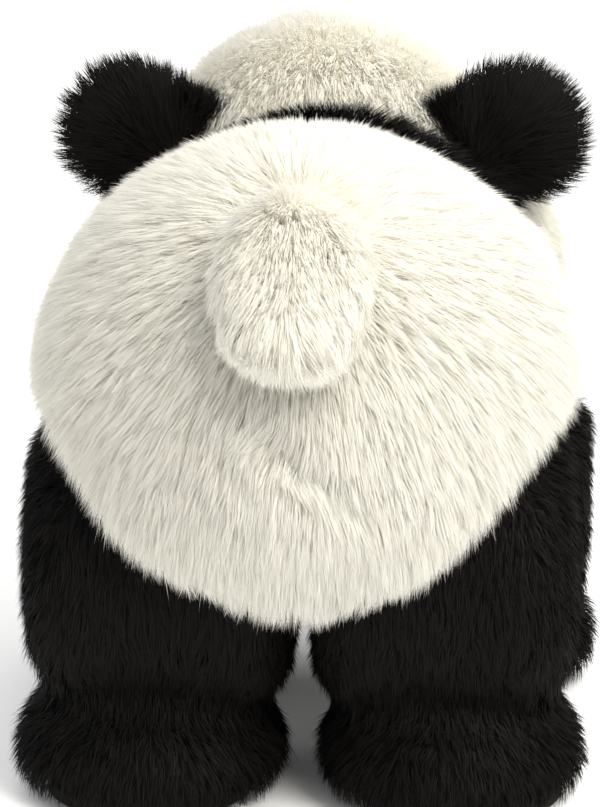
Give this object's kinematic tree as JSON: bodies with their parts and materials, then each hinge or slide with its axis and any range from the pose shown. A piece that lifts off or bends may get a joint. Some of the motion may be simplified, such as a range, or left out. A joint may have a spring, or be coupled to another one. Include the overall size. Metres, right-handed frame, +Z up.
{
  "type": "plush panda",
  "caption": "Plush panda standing on four legs: cream body and head, black ears, legs and shoulder band, soft long pile, jointed neck, ears, tail and legs.",
  "frame": {"origin": "on the floor under the middle of the toy's outer box, soles at z = 0", "axes": "+X to the panda's left, +Y to its rump, +Z up; the face looks along -Y"},
  "size_m": [0.159, 0.2815, 0.182],
  "materials": {
    "cream_plush": "long soft pile, warm off-white",
    "black_plush": "long soft pile, near black",
    "stuffing": "loose polyester fibre",
    "sole_suede": "short napped cloth",
    "bead_bag": "thin woven bag of plastic beads",
    "eye_plastic": "polished, very dark brown",
    "nose_plastic": "satin black",
    "washer": "moulded, natural",
    "thread": "twisted embroidery thread",
    "label_tape": "smooth woven tape, left blank"
  },
  "bodies": {
    "torso": {"back_panel_left": "cream_plush", "back_panel_right": "cream_plush", "shoulder_band": "black_plush", "chest_panel": "black_plush", "torso_fill": "stuffing", "care_label": "label_tape"},
    "neck": {"neck_cover": "black_plush", "neck_fill": "stuffing"},
    "head": {"head_side_left": "cream_plush", "head_side_right": "cream_plush", "head_gusset": "cream_plush", "chin_panel": "cream_plush", "head_fill": "stuffing", "muzzle_cover": "cream_plush", "muzzle_fill": "stuffing", "eye_patch_left": "black_plush", "eye_patch_right": "black_plush", "eye_left": "eye_plastic", "eye_right": "eye_plastic", "eye_washer_left": "washer", "eye_washer_right": "washer", "nose": "nose_plastic", "nose_washer": "washer", "mouth_stitch": "thread"},
    "tail": {"tail_cover": "cream_plush", "tail_fill": "stuffing"},
    "ear_left": {"ear_front_left": "black_plush", "ear_back_left": "black_plush"},
    "ear_right": {"ear_front_right": "black_plush", "ear_back_right": "black_plush"},
    "hind_leg_left": {"hind_leg_left": "black_plush", "hind_fill_left": "stuffing", "hind_sole_left": "sole_suede", "hind_bag_left": "bead_bag"},
    "hind_leg_right": {"hind_leg_right": "black_plush", "hind_fill_right": "stuffing", "hind_sole_right": "sole_suede", "hind_bag_right": "bead_bag"},
    "front_leg_left": {"front_leg_left": "black_plush", "front_fill_left": "stuffing", "front_sole_left": "sole_suede", "front_bag_left": "bead_bag"},
    "front_leg_right": {"front_leg_right": "black_plush", "front_fill_right": "stuffing", "front_sole_right": "sole_suede", "front_bag_right": "bead_bag"}
  },
  "joints": [
    {"name": "head_turn", "type": "hinge", "parent": "torso", "child": "neck", "pos_m": [0, -0.024, 0.12], "axis": [0, 0, 1], "range_deg": [-10, 10], "stiffness_Nm_per_rad": 0.9},
    {"name": "head_nod", "type": "hinge", "parent": "neck", "child": "head", "pos_m": [0, -0.024, 0.12], "axis": [1, 0, 0], "range_deg": [-12, 3], "stiffness_Nm_per_rad": 0.9},
    {"name": "ear_fold_left", "type": "hinge", "parent": "head", "child": "ear_left", "pos_m": [0.04123, -0.0485, 0.14866], "axis": [0.3746, 0, -0.9272], "range_deg": [-15, 15], "stiffness_Nm_per_rad": 0.02},
    {"name": "ear_fold_right", "type": "hinge", "parent": "head", "child": "ear_right", "pos_m": [-0.04123, -0.0485, 0.14866], "axis": [0.3746, 0, 0.9272], "range_deg": [-15, 15], "stiffness_Nm_per_rad": 0.02},
    {"name": "tail_lift", "type": "hinge", "parent": "torso", "child": "tail", "pos_m": [0, 0.089, 0.16362], "axis": [1, 0, 0], "range_deg": [0, 50], "stiffness_Nm_per_rad": 0.03},
    {"name": "hind_leg_swing_left", "type": "hinge", "parent": "torso", "child": "hind_leg_left", "pos_m": [0.038, 0.06, 0.064], "axis": [1, 0, 0], "range_deg": [-8, 22], "stiffness_Nm_per_rad": 0.6},
    {"name": "hind_leg_swing_right", "type": "hinge", "parent": "torso", "child": "hind_leg_right", "pos_m": [-0.038, 0.06, 0.064], "axis": [1, 0, 0], "range_deg": [-8, 22], "stiffness_Nm_per_rad": 0.6},
    {"name": "front_leg_swing_left", "type": "hinge", "parent": "torso", "child": "front_leg_left", "pos_m": [0.0525, -0.014, 0.062], "axis": [1, 0, 0], "range_deg": [-25, 8], "stiffness_Nm_per_rad": 0.6},
    {"name": "front_leg_swing_right", "type": "hinge", "parent": "torso", "child": "front_leg_right", "pos_m": [-0.0525, -0.014, 0.062], "axis": [1, 0, 0], "range_deg": [-25, 8], "stiffness_Nm_per_rad": 0.6}
  ]
}
